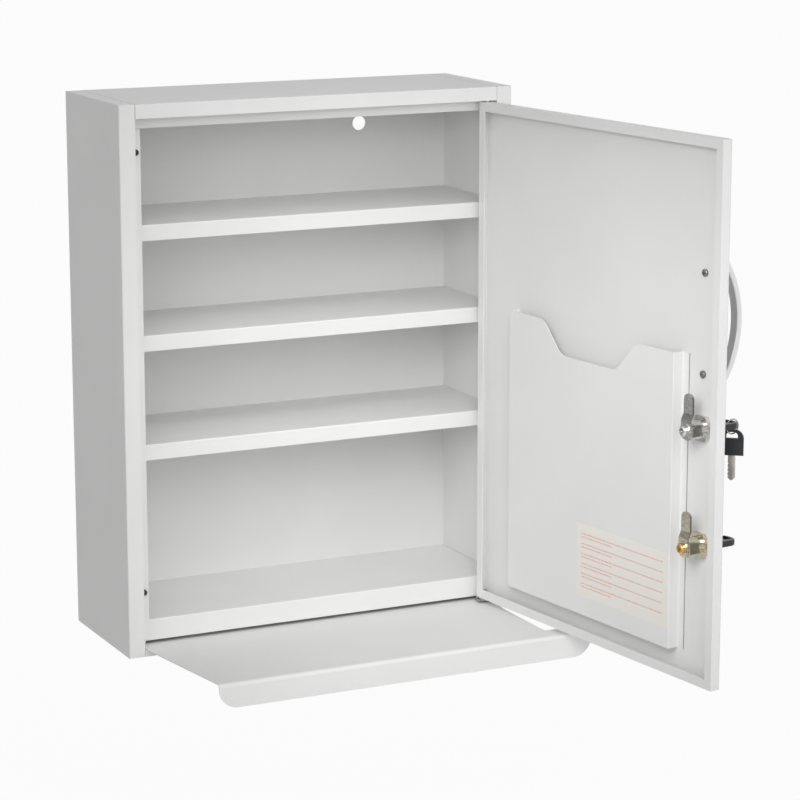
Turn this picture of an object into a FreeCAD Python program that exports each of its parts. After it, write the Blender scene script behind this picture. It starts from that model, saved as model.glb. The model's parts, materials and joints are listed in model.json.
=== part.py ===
# Wall-hung sheet-steel medicine cabinet with an inset door, two cam locks and a pull-out tray.
# Millimetres. X to the right, Y towards the wall, Z up. The wall is the plane Y = 0, and the
# origin lies on it, on the centre line at the height of the wall holes. The door is open, the tray out.
import os
import re

import FreeCAD
import Part
import Sketcher

doc = FreeCAD.newDocument("medicine_cabinet")
sizes = doc.addObject("Spreadsheet::Sheet", "sizes")

# Driving dimensions in millimetres, degrees where the name says angle.
DIMENSIONS = {
    # carcass
    "cabinet_width": 425.0,
    "cabinet_height": 550.0,
    "cabinet_depth": 150.0,
    "steel": 1.0,
    "face_width": 16.5,
    "top_face_height": 14.0,
    "rail_height": 6.0,
    "jamb_depth": 16.0,
    "stop_lip": 11.0,
    "seam_gap": 0.5,
    "stop_gap": 0.5,
    "back_flange": 15.0,
    "hole_drop": 48.0,
    "left_hole": 145.0,
    "right_hole": 111.0,
    "hole_diameter": 15.0,
    "bend_radius": 1.5,
    "overrun": 5.0,
    # shelves and floor
    "shelf_gap": 0.3,
    "shelf_lip": 15.7,
    "shelf_tail": 12.0,
    "upper_shelf_drop": 119.5,
    "shelf_pitch": 109.5,
    "floor_height": 32.5,
    "floor_lip": 21.5,
    # tray and its guides
    "tray_reach": 138.0,
    "tray_grip": 32.0,
    "tray_lip": 25.0,
    "tray_bend": 4.0,
    "tray_corner": 20.0,
    "tray_taper": 20.0,
    "tray_wing": 42.0,
    "tray_wing_depth": 22.0,
    "tray_wing_round": 8.0,
    "tray_side_gap": 2.5,
    "tray_lift": 0.2,
    "tray_tail": 8.0,
    "tray_tail_inset": 10.0,
    "guide_width": 23.5,
    "guide_height": 11.0,
    "guide_slot": 1.9,
    "guide_slot_depth": 9.0,
    "guide_rear_gap": 3.0,
    # door and hinge
    "door_thickness": 11.0,
    "door_return": 9.5,
    "door_gap": 1.5,
    "door_bottom": 12.5,
    "hinge_edge": 6.0,
    "hinge_depth": 5.0,
    "hinge_gap": 2.2,
    "open_angle": 97.0,
    "pin_diameter": 5.0,
    "pin_length": 9.0,
    "rivet_diameter": 3.6,
    "rivet_head": 7.0,
    "rivet_head_height": 1.6,
    "pin_clearance": 0.05,
    "bracket_length": 12.0,
    "bracket_thickness": 2.0,
    "bracket_drop": 3.0,
    "bracket_wing": 8.0,
    "washer_diameter": 11.0,
    "washer_gap": 0.2,
    "buffer_diameter": 6.0,
    "buffer_height": 4.4,
    "buffer_inset": 5.5,
    "upper_buffer_drop": 48.0,
    "lower_buffer_height": 62.0,
    # document pocket
    "pocket_width": 267.0,
    "pocket_bottom": 39.0,
    "pocket_top": 328.0,
    "pocket_depth": 12.0,
    "pocket_gap": 9.0,
    "pocket_flange": 9.0,
    "dip_depth": 32.0,
    "dip_floor": 91.0,
    "dip_mouth": 150.0,
    "dip_radius": 22.0,
    # handle
    "handle_inset": 33.0,
    "handle_lift": 99.0,
    "handle_spacing": 96.0,
    "handle_rise": 40.0,
    "handle_radius": 105.0,
    "handle_length": 112.0,
    "handle_width": 11.0,
    "handle_thickness": 6.5,
    "handle_post": 9.5,
    "screw_diameter": 4.0,
    "screw_clearance": 0.3,
    "screw_head": 7.4,
    "screw_head_height": 2.4,
    "screw_length": 3.5,
    # locks
    "lock_inset": 31.0,
    "lower_lock_height": 147.0,
    "lock_spacing": 113.0,
    "barrel_diameter": 19.0,
    "barrel_depth": 21.0,
    "barrel_clearance": 0.2,
    "barrel_flat": 16.0,
    "flange_diameter": 24.0,
    "flange_height": 2.5,
    "plug_diameter": 12.0,
    "plug_clearance": 0.06,
    "plug_rim": 15.0,
    "plug_rim_height": 1.0,
    "shank_width": 7.0,
    "nut_width": 24.0,
    "nut_height": 4.5,
    "cam_length": 35.0,
    "cam_width": 13.0,
    "cam_thickness": 2.0,
    "cam_crank": 3.0,
    "cam_crank_start": 10.0,
    "cam_crank_run": 6.0,
    "cam_tail": 8.0,
    "cam_gap": 0.2,
    "cam_washer_diameter": 14.0,
    "cam_washer_thickness": 1.0,
    "cam_screw_head": 10.0,
    "cam_screw_height": 3.4,
    "cam_screw_shank": 3.6,
    "cam_screw_length": 6.0,
    "cross_width": 1.4,
    "cross_length": 5.6,
    "cross_depth": 1.8,
    # keys and ring
    "key_width": 7.0,
    "key_thickness": 2.0,
    "key_reach": 18.0,
    "key_neck": 7.0,
    "key_gap": 0.15,
    "key_head_width": 22.0,
    "key_head_length": 25.0,
    "key_head_thickness": 6.0,
    "key_head_round": 9.0,
    "key_head_edge": 1.4,
    "key_hole_width": 11.0,
    "key_hole_length": 8.0,
    "key_hole_rim": 3.6,
    "key_tip": 2.5,
    "key_cut_pitch": 4.0,
    "key_cut_width": 3.0,
    "key_cut_depth": 1.0,
    "ring_radius": 7.0,
    "ring_wire": 1.4,
    "spare_angle": 45.0,
    "spare_blade": 24.0,
    "spare_drop": 1.2,
    "spare_rim": 2.4,
    "spare_hole": 6.0,
    "spare_hole_round": 4.0,
    # rounds as shares of the piece that carries them
    "chamfer_share": 0.125,
    "edge_share": 0.33,
    "dome_share": 0.5,
    "cam_tip_share": 0.45,
    "cam_heel_share": 0.42,
}
KEY_CUTS = 4
WORDS = re.compile(r"\b[a-z_]+\b")

# Places that several pieces share, as formulas: across and up in the door's own axes, up from the foot.
HOLE_LEVEL = "(cabinet_height - hole_drop)"
LOCK_LEVELS = {"lower": "lower_lock_height", "upper": "(lower_lock_height + lock_spacing)"}
HANDLE_LEVEL = "(lower_lock_height + lock_spacing + handle_lift)"
HINGE_LINE = "cabinet_width / 2 - face_width - hinge_gap - hinge_edge"
FREE_EDGE = "-(cabinet_width - 2 * face_width - hinge_gap - door_gap - hinge_edge)"
LOCK_AXIS = FREE_EDGE + " + lock_inset"
NUT_POINT = "nut_width / 2 / cos(30 deg)"


def formula(text):
    """Put the sheet's name before each size in an expression."""
    def with_sheet(match):
        word = match.group(0)
        return "sizes." + word if word in DIMENSIONS else word

    return WORDS.sub(with_sheet, text)


def fill_sheet():
    for row, (alias, number) in enumerate(DIMENSIONS.items(), start=1):
        sizes.set("A%d" % row, alias)
        sizes.set("B%d" % row, repr(number))
        sizes.setAlias("B%d" % row, alias)
    doc.recompute()


def new_body(name, seat="cabinet"):
    """A body carried by the cabinet, or by the door, which turns about its hinge."""
    body = doc.addObject("PartDesign::Body", name)
    body.Label = name
    body.setExpression("Placement.Base.z", formula("-" + HOLE_LEVEL))
    if seat == "door":
        body.setExpression("Placement.Base.x", formula(HINGE_LINE))
        body.setExpression("Placement.Base.y", formula("hinge_depth - cabinet_depth"))
        body.setExpression("Placement.Rotation.Angle", formula("open_angle"))
    return body


def new_sketch(body, plane, offset="0"):
    """A sketch on one of the body's origin planes, moved along the plane's normal."""
    sketch = body.newObject("Sketcher::SketchObject", body.Name + "_sketch")
    support = [entry for entry in body.Origin.OriginFeatures if entry.Role == plane + "_Plane"][0]
    sketch.AttachmentSupport = (support, "")
    sketch.MapMode = "FlatFace"
    if offset != "0":
        sketch.setExpression("AttachmentOffset.Base.z", formula(offset))
    return sketch


def pin_down(sketch, geometry, point, across, up):
    """Hold a point of the sketch at two formulas from the sketch's origin."""
    for axis, kind, text in ((-2, "DistanceX", across), (-1, "DistanceY", up)):
        if text == "0":
            sketch.addConstraint(Sketcher.Constraint("PointOnObject", geometry, point, axis))
        else:
            index = sketch.addConstraint(Sketcher.Constraint(kind, -1, 1, geometry, point, 1.0))
            sketch.setExpression("Constraints[%d]" % index, formula(text))


def outline(sketch, corners):
    """A closed polygon through corners given as pairs of formulas."""
    first = sketch.GeometryCount
    count = len(corners)
    for step in range(count):
        start = FreeCAD.Vector(step, step * step, 0)
        end = FreeCAD.Vector(step + 1, (step + 1) * (step + 1), 0)
        sketch.addGeometry(Part.LineSegment(start, end), False)
    for step in range(count):
        follower = first + (step + 1) % count
        sketch.addConstraint(Sketcher.Constraint("Coincident", first + step, 2, follower, 1))
    for step, (across, up) in enumerate(corners):
        pin_down(sketch, first + step, 1, across, up)


def rectangle(sketch, left, right, low, high):
    outline(sketch, [(left, low), (right, low), (right, high), (left, high)])


def circle(sketch, across, up, diameter):
    index = sketch.addGeometry(Part.Circle(FreeCAD.Vector(0, 0, 0), FreeCAD.Vector(0, 0, 1), 1.0), False)
    pin_down(sketch, index, 3, across, up)
    limit = sketch.addConstraint(Sketcher.Constraint("Diameter", index, 2.0))
    sketch.setExpression("Constraints[%d]" % limit, formula(diameter))


def pad(body, sketch, length, against=False, both=False):
    """Thicken a sketch along its normal, against it, or half each way."""
    feature = body.newObject("PartDesign::Pad", body.Name + "_pad")
    feature.Profile = sketch
    feature.setExpression("Length", formula(length))
    feature.Reversed = against
    feature.Midplane = both
    return feature


def pocket(body, sketch, length, along=False, both=False):
    """Cut a sketch against its normal, along it, or half each way, and check that it cut."""
    doc.recompute()
    before = body.Shape.Volume
    feature = body.newObject("PartDesign::Pocket", body.Name + "_pocket")
    feature.Profile = sketch
    feature.setExpression("Length", formula(length))
    feature.Reversed = along
    feature.Midplane = both
    doc.recompute()
    if not body.Shape.Volume < before:
        raise RuntimeError(body.Label + ": a pocket cut nothing")
    return feature


def dress(body, kind, wanted, size):
    """Fillet or chamfer the edges of the body that the wanted test picks."""
    doc.recompute()
    base = body.Tip
    names = ["Edge%d" % (step + 1) for step, edge in enumerate(base.Shape.Edges) if wanted(edge)]
    if not names:
        raise RuntimeError(body.Label + ": no edge to dress")
    feature = body.newObject("PartDesign::" + kind, body.Name + "_" + kind.lower())
    feature.Base = (base, names)
    feature.setExpression("Radius" if kind == "Fillet" else "Size", formula(size))
    return feature


def size(alias):
    return float(sizes.get(alias))


def near(first, second):
    return abs(first - second) < size("steel") / 10


def runs_along(edge, axis):
    """True for a straight edge parallel to one axis of the body."""
    if not hasattr(edge.Curve, "Direction"):
        return False
    return abs(abs(getattr(edge.Curve.Direction, axis)) - 1) < 0.001


def height_range(body):
    """Lowest and highest corner of a body so far, in its own axes."""
    heights = [vertex.Z for vertex in body.Tip.Shape.Vertexes]
    return min(heights), max(heights)


def folded(name, corners, length, seat="cabinet"):
    """Sheet bent to a profile in depth and height, of one length across."""
    body = new_body(name, seat)
    sketch = new_sketch(body, "YZ")
    outline(sketch, corners)
    pad(body, sketch, length, both=True)
    return body


def side_panel(name, sign):
    """Side wall, face flange and jamb return in one fold, with stop lip, top and bottom flanges."""
    body = new_body(name)
    wall = sign + "(cabinet_width / 2)"
    skin = sign + "(cabinet_width / 2 - steel)"
    jamb = sign + "(cabinet_width / 2 - face_width)"
    hidden = sign + "(cabinet_width / 2 - face_width + steel)"
    front = "-cabinet_depth"
    stop = "jamb_depth - cabinet_depth"
    sketch = new_sketch(body, "XY")
    outline(sketch, [(wall, "0"), (wall, front), (jamb, front), (jamb, stop + " + steel"),
                     (hidden, stop + " + steel"), (hidden, front + " + steel"),
                     (skin, front + " + steel"), (skin, "0")])
    pad(body, sketch, "cabinet_height")
    lip = new_sketch(body, "XY", "door_bottom")
    rectangle(lip, sign + "(cabinet_width / 2 - face_width - stop_lip)", jamb, stop, stop + " + steel")
    pad(body, lip, "cabinet_height - top_face_height - stop_lip - stop_gap - door_bottom")
    for level in ("0", "cabinet_height - steel"):
        flange = new_sketch(body, "XY", level)
        rectangle(flange, skin, jamb, front + " + steel", "0")
        pad(body, flange, "steel")
    doc.recompute()
    edge_x = size("cabinet_width") / 2 * (-1 if sign == "-" else 1)
    dress(body, "Fillet", lambda edge: runs_along(edge, "z") and near(edge.CenterOfMass.x, edge_x)
          and near(edge.CenterOfMass.y, -size("cabinet_depth")), "bend_radius")


def carcass():
    side_panel("left_side_panel", "-")
    side_panel("right_side_panel", "")
    inner = "cabinet_width - 2 * face_width - 2 * seam_gap"
    front = "-cabinet_depth"
    stop = "jamb_depth - cabinet_depth"
    high = "cabinet_height"
    low = "cabinet_height - top_face_height"
    top = folded("top_panel", [
        ("0", high), (front, high), (front, low), (stop, low), (stop, low + " - stop_lip"),
        (stop + " + steel", low + " - stop_lip"), (stop + " + steel", low + " + steel"),
        (front + " + steel", low + " + steel"), (front + " + steel", high + " - steel"),
        ("0", high + " - steel")], inner)
    hole = new_sketch(top, "XY", low + " + steel + overrun")
    circle(hole, HINGE_LINE, "hinge_depth - cabinet_depth", "rivet_diameter + 2 * pin_clearance")
    pocket(top, hole, "steel + overrun + overrun / 2")
    dress(top, "Fillet", lambda edge: runs_along(edge, "x")
          and near(edge.CenterOfMass.y, -size("cabinet_depth"))
          and near(edge.CenterOfMass.z, size("cabinet_height")), "bend_radius")
    folded("bottom_panel", [
        ("0", "0"), (front, "0"), (front, "rail_height"),
        (stop, "rail_height"), (stop, "rail_height - steel"),
        (front + " + steel", "rail_height - steel"), (front + " + steel", "steel"), ("0", "steel")], inner)
    back = folded("back_panel", [
        ("0", "steel"), ("0", high + " - steel"), ("-back_flange", high + " - steel"),
        ("-back_flange", high + " - 2 * steel"), ("-steel", high + " - 2 * steel"), ("-steel", "2 * steel"),
        ("-back_flange", "2 * steel"), ("-back_flange", "steel")], "cabinet_width - 2 * steel")
    holes = new_sketch(back, "XZ")
    circle(holes, "-left_hole", HOLE_LEVEL, "hole_diameter")
    circle(holes, "right_hole", HOLE_LEVEL, "hole_diameter")
    pocket(back, holes, "2 * steel + overrun", both=True)


def shelf(name, height, lip):
    """A shelf with a turned-down front lip behind the stop lips, and a short tail at the back."""
    nose = "jamb_depth + steel + shelf_gap - cabinet_depth"
    body = folded(name, [
        ("-steel", height), (nose, height),
        (nose, height + " - " + lip), (nose + " + steel", height + " - " + lip),
        (nose + " + steel", height + " - steel"), ("-2 * steel", height + " - steel"),
        ("-2 * steel", height + " - shelf_tail"), ("-steel", height + " - shelf_tail")],
        "cabinet_width - 2 * steel - 2 * seam_gap")
    doc.recompute()
    low_z, high_z = height_range(body)
    dress(body, "Fillet", lambda edge: runs_along(edge, "x") and near(edge.CenterOfMass.z, high_z)
          and edge.CenterOfMass.y < -size("cabinet_depth") / 2, "bend_radius")


def shelves():
    for step, name in enumerate(("upper_shelf", "middle_shelf", "lower_shelf")):
        shelf(name, "(cabinet_height - upper_shelf_drop - %d * shelf_pitch)" % step, "shelf_lip")
    shelf("floor_panel", "floor_height", "floor_lip")


def tray_guide(name, sign):
    """A slotted strip on the bottom flange, against the side wall, that the tray's edge runs in."""
    body = new_body(name)
    sketch = new_sketch(body, "XZ", "back_flange + guide_rear_gap")
    outer = sign + "(cabinet_width / 2 - steel)"
    inner = sign + "(cabinet_width / 2 - steel - guide_width)"
    deep = sign + "(cabinet_width / 2 - steel - guide_width + guide_slot_depth)"
    top = "steel + guide_height"
    outline(sketch, [(outer, "steel"), (inner, "steel"), (inner, "rail_height"), (deep, "rail_height"),
                     (deep, "rail_height + guide_slot"), (inner, "rail_height + guide_slot"),
                     (inner, top), (outer, top)])
    pad(body, sketch, "cabinet_depth - jamb_depth - 2 * steel - 2 * shelf_gap - back_flange - guide_rear_gap")


def tray():
    """Flat sheet with a rounded front bend, a turned-down lip and a turned-up tail that stops it."""
    base = "rail_height + tray_lift"
    nose = "-cabinet_depth - tray_reach"
    tail = "tray_grip - cabinet_depth"
    body = folded("pull_out_tray", [
        (tail, base), (nose + " + steel", base), (nose + " + steel", base + " + steel - tray_lip"),
        (nose, base + " + steel - tray_lip"), (nose, base + " + steel"), (tail + " - steel", base + " + steel"),
        (tail + " - steel", base + " + tray_tail"), (tail, base + " + tray_tail")],
        "cabinet_width - 2 * face_width - 2 * tray_side_gap + 2 * tray_wing")
    doc.recompute()
    nose_y = -size("cabinet_depth") - size("tray_reach")
    top_z = size("rail_height") + size("tray_lift") + size("steel")
    dress(body, "Fillet", lambda edge: runs_along(edge, "x") and near(edge.CenterOfMass.y, nose_y)
          and near(edge.CenterOfMass.z, top_z), "tray_bend")
    dress(body, "Fillet", lambda edge: runs_along(edge, "x")
          and near(edge.CenterOfMass.y, nose_y + size("steel"))
          and near(edge.CenterOfMass.z, top_z - size("steel")), "tray_bend - steel")
    left = "-(cabinet_width / 2 - face_width - tray_side_gap)"
    right = "(cabinet_width / 2 - face_width - tray_side_gap)"
    beyond = left + " - tray_wing - overrun"
    taper = new_sketch(body, "XY", "-tray_lip")
    outline(taper, [(beyond, nose + " - overrun"), (left + " + tray_taper", nose + " - overrun"),
                    (left + " + tray_taper", nose + " + tray_bend"), (left, "-cabinet_depth"),
                    (left, tail + " + overrun"), (beyond, tail + " + overrun")])
    rectangle(taper, right, right + " + tray_wing + overrun",
              nose + " + tray_wing_depth", tail + " + overrun")
    pocket(body, taper, "2 * tray_lip + overrun", along=True)
    wing_x = size("cabinet_width") / 2 - size("face_width") - size("tray_side_gap") + size("tray_wing")
    dress(body, "Fillet", lambda edge: runs_along(edge, "z") and near(edge.CenterOfMass.x, wing_x)
          and near(edge.CenterOfMass.y, nose_y + size("tray_wing_depth")), "tray_wing_round")
    ends = new_sketch(body, "XY", base + " + steel")
    for sign in ("-", ""):
        rectangle(ends, sign + "(cabinet_width / 2 - face_width - tray_side_gap + overrun)",
                  sign + "(cabinet_width / 2 - face_width - tray_side_gap - tray_tail_inset)",
                  tail + " - steel - overrun", tail + " + overrun")
    pocket(body, ends, "tray_tail + overrun", along=True)
    lip_z = top_z - size("tray_lip")
    dress(body, "Fillet", lambda edge: runs_along(edge, "y") and near(edge.CenterOfMass.z, lip_z),
          "tray_corner")


def hinges():
    """Pivot pins at the top and bottom of the hinge side, a bracket under the door and a washer."""
    across = HINGE_LINE
    depth = "hinge_depth - cabinet_depth"
    jamb = "cabinet_width / 2 - face_width"
    seat = "door_bottom - washer_gap - steel"
    bracket = new_body("lower_hinge_bracket")
    sketch = new_sketch(bracket, "XZ", "cabinet_depth - steel / 2")
    outline(sketch, [(jamb, seat + " - bracket_thickness - bracket_drop"),
                     (jamb + " - steel", seat + " - bracket_thickness - bracket_drop"),
                     (jamb + " - steel", seat + " - bracket_thickness"),
                     (across + " - bracket_wing", seat + " - bracket_thickness"),
                     (across + " - bracket_wing", seat), (jamb, seat)])
    pad(bracket, sketch, "bracket_length", against=True)
    hole = new_sketch(bracket, "XY", seat + " + overrun")
    circle(hole, across, depth, "rivet_diameter + 2 * pin_clearance")
    pocket(bracket, hole, "bracket_thickness + 2 * overrun")
    lower = new_body("lower_hinge_pin")
    shank = new_sketch(lower, "XY", seat)
    circle(shank, across, depth, "pin_diameter")
    pad(lower, shank, "pin_length")
    spigot = new_sketch(lower, "XY", seat)
    circle(spigot, across, depth, "rivet_diameter")
    pad(lower, spigot, "bracket_thickness", against=True)
    dress(lower, "Chamfer", lambda edge: near(edge.CenterOfMass.z, size("door_bottom") - size("washer_gap")
          - size("steel") + size("pin_length")), "pin_diameter * chamfer_share")
    upper = new_body("upper_hinge_pin")
    roof = "cabinet_height - top_face_height"
    shank = new_sketch(upper, "XY", roof)
    circle(shank, across, depth, "pin_diameter")
    pad(upper, shank, "pin_length", against=True)
    spigot = new_sketch(upper, "XY", roof)
    circle(spigot, across, depth, "rivet_diameter")
    pad(upper, spigot, "steel")
    head = new_sketch(upper, "XY", roof + " + steel")
    circle(head, across, depth, "rivet_head")
    pad(upper, head, "rivet_head_height")
    doc.recompute()
    foot_z, head_z = height_range(upper)
    dress(upper, "Chamfer", lambda edge: near(edge.CenterOfMass.z, foot_z), "pin_diameter * chamfer_share")
    washer = new_body("hinge_washer")
    ring = new_sketch(washer, "XY", seat)
    circle(ring, across, depth, "washer_diameter")
    circle(ring, across, depth, "pin_diameter + 2 * pin_clearance")
    pad(washer, ring, "steel")


def buffers():
    """Two small domed rubber stops on the lock-side stop lip, one node of two solids."""
    studs = []
    for height in ("cabinet_height - upper_buffer_drop", "lower_buffer_height"):
        stud = doc.addObject("Part::Cylinder", "buffer_stud")
        stud.setExpression("Radius", formula("buffer_diameter / 2"))
        stud.setExpression("Height", formula("buffer_height"))
        stud.Placement.Rotation = FreeCAD.Rotation(FreeCAD.Vector(1, 0, 0), 90)
        stud.setExpression("Placement.Base.x", formula("-(cabinet_width / 2 - face_width - buffer_inset)"))
        stud.setExpression("Placement.Base.y", formula("jamb_depth - cabinet_depth"))
        stud.setExpression("Placement.Base.z", formula(height + " - " + HOLE_LEVEL))
        doc.recompute()
        dome = doc.addObject("Part::Fillet", "buffer_dome")
        dome.Base = stud
        front_y = size("jamb_depth") - size("cabinet_depth") - size("buffer_height")
        rim = [step + 1 for step, edge in enumerate(stud.Shape.Edges)
               if near(edge.CenterOfMass.y, front_y) and edge.Closed]
        radius = size("buffer_diameter") * size("edge_share")
        dome.Edges = [(index, radius, radius) for index in rim]
        studs.append(dome)
    pair = doc.addObject("Part::Compound", "door_buffers")
    pair.Label = "door_buffers"
    pair.Links = studs


def door_panel():
    """Door pan: outer sheet, turned walls and return lips round the inner side."""
    body = new_body("door_panel", "door")
    top = "cabinet_height - top_face_height - door_gap"
    slab = new_sketch(body, "XZ", "hinge_depth")
    rectangle(slab, FREE_EDGE, "hinge_edge", "door_bottom", top)
    pad(body, slab, "door_thickness", against=True)
    front_y = -size("hinge_depth")
    doc.recompute()
    dress(body, "Fillet", lambda edge: near(edge.CenterOfMass.y, front_y), "bend_radius")
    mouth = new_sketch(body, "XZ", "hinge_depth - door_thickness")
    rectangle(mouth, FREE_EDGE + " + door_return", "hinge_edge - door_return", "door_bottom + door_return",
              top + " - door_return")
    pocket(body, mouth, "door_thickness - steel", along=True)
    hollow = new_sketch(body, "XZ", "hinge_depth - door_thickness + steel")
    rectangle(hollow, FREE_EDGE + " + steel", "hinge_edge - steel", "door_bottom + steel", top + " - steel")
    pocket(body, hollow, "door_thickness - 2 * steel", along=True)
    pins = new_sketch(body, "XY", "cabinet_height")
    circle(pins, "0", "0", "pin_diameter + 2 * pin_clearance")
    pocket(body, pins, "cabinet_height")
    holes = new_sketch(body, "XZ", "hinge_depth + overrun")
    for sign in ("-", "+"):
        circle(holes, FREE_EDGE + " + handle_inset", HANDLE_LEVEL + sign + " handle_spacing / 2",
               "screw_diameter + 2 * screw_clearance")
    for height in LOCK_LEVELS.values():
        circle(holes, LOCK_AXIS, height, "barrel_diameter + 2 * barrel_clearance")
    pocket(body, holes, "overrun + 2 * steel")


def door_pocket():
    """Document pocket: face with a dipped top edge, side and bottom walls, welding flanges."""
    body = new_body("door_pocket", "door")
    left = "(" + LOCK_AXIS + " + " + NUT_POINT + " + pocket_gap + pocket_flange)"
    right = "(" + left + " + pocket_width)"
    middle = "(" + left + " + pocket_width / 2)"
    skin = "hinge_depth - steel"
    face = new_sketch(body, "XZ", skin)
    outline(face, [
        (left, "pocket_bottom"), (right, "pocket_bottom"), (right, "pocket_top"),
        (middle + " + dip_mouth / 2", "pocket_top"), (middle + " + dip_floor / 2", "pocket_top - dip_depth"),
        (middle + " - dip_floor / 2", "pocket_top - dip_depth"), (middle + " - dip_mouth / 2", "pocket_top"),
        (left, "pocket_top")])
    pad(body, face, "pocket_depth", against=True)
    doc.recompute()
    dip = sum(vertex.X for vertex in body.Tip.Shape.Vertexes) / len(body.Tip.Shape.Vertexes)
    dress(body, "Fillet", lambda edge: runs_along(edge, "y")
          and abs(edge.CenterOfMass.x - dip) < size("dip_mouth") / 2 + size("steel"), "dip_radius")
    inside = new_sketch(body, "XZ", skin)
    rectangle(inside, left + " + steel", right + " - steel", "pocket_bottom + steel", "pocket_top + overrun")
    pocket(body, inside, "pocket_depth - steel")
    for near_edge, far_edge in ((left, left + " - pocket_flange"), (right, right + " + pocket_flange")):
        flange = new_sketch(body, "XZ", skin)
        rectangle(flange, near_edge, far_edge, "pocket_bottom", "pocket_top")
        pad(body, flange, "steel", against=True)
    doc.recompute()
    outer_y = size("steel") - size("hinge_depth") + size("pocket_depth")
    dress(body, "Fillet", lambda edge: runs_along(edge, "z") and near(edge.CenterOfMass.y, outer_y)
          and edge.Length > size("pocket_top") / 2, "bend_radius * dome_share")


def handle():
    """Bow handle: a rounded oblong section swept round a shallow arc, on two posts off the door's face."""
    body = new_body("door_handle", "door")
    centre = FREE_EDGE + " + handle_inset"
    crown = "-hinge_depth - handle_rise"
    pivot = crown + " + handle_radius"
    section = new_sketch(body, "XY", HANDLE_LEVEL)
    rectangle(section, centre + " - handle_width / 2", centre + " + handle_width / 2", crown,
              crown + " + handle_thickness")
    axis = section.addGeometry(Part.LineSegment(FreeCAD.Vector(0, 0, 0), FreeCAD.Vector(1, 0, 0)), True)
    pin_down(section, axis, 1, centre, pivot)
    pin_down(section, axis, 2, centre + " + handle_width", pivot)
    bow = body.newObject("PartDesign::Revolution", "door_handle_bow")
    bow.Profile = section
    bow.ReferenceAxis = (section, ["Axis0"])
    bow.Midplane = True
    bow.setExpression("Angle", formula("2 * asin(handle_length / 2 / handle_radius)"))
    dress(body, "Fillet", lambda edge: edge.Length > size("handle_spacing") / 2,
          "handle_thickness * edge_share")
    drop = "handle_radius - sqrt(handle_radius * handle_radius - handle_spacing * handle_spacing / 4)"
    posts = new_sketch(body, "XZ", "hinge_depth")
    bores = new_sketch(body, "XZ", "hinge_depth")
    for sign in ("-", "+"):
        circle(posts, centre, HANDLE_LEVEL + sign + " handle_spacing / 2", "handle_post")
        circle(bores, centre, HANDLE_LEVEL + sign + " handle_spacing / 2", "screw_diameter")
    pad(body, posts, "handle_rise - handle_thickness / 2 - (" + drop + ")")
    pocket(body, bores, "screw_length - steel + screw_clearance", along=True)


def turned(name, seat, across, height, steps):
    """A round piece on an axis through the door: steps of (start depth, length, diameter, bore)."""
    body = new_body(name, seat)
    for start, length, diameter, bore in steps:
        ring = new_sketch(body, "XZ", "hinge_depth - (" + start + ")")
        circle(ring, across, height, diameter)
        if bore:
            circle(ring, across, height, bore)
        pad(body, ring, length, against=True)
    return body


def handle_screws():
    """Two pan-head screws through the door skin into the handle's feet, one node of two solids."""
    screws = []
    for sign in ("-", "+"):
        height = HANDLE_LEVEL + sign + " handle_spacing / 2"
        screw = turned("handle_screw", "door", FREE_EDGE + " + handle_inset", height, [
            ("steel", "screw_head_height", "screw_head", ""),
            ("steel - screw_length", "screw_length", "screw_diameter - 2 * pin_clearance", "")])
        head_y = size("steel") - size("hinge_depth") + size("screw_head_height")
        dress(screw, "Fillet", lambda edge: near(edge.CenterOfMass.y, head_y),
              "screw_head_height * dome_share")
        cross = new_sketch(screw, "XZ", "hinge_depth - steel - screw_head_height")
        across = FREE_EDGE + " + handle_inset"
        rectangle(cross, across + " - cross_length * edge_share", across + " + cross_length * edge_share",
                  height + " - cross_width * edge_share", height + " + cross_width * edge_share")
        pocket(screw, cross, "cross_depth * dome_share", along=True)
        screws.append(screw)
    pair = doc.addObject("Part::Compound", "handle_screws")
    pair.Label = "handle_screws"
    pair.Links = screws


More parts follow.
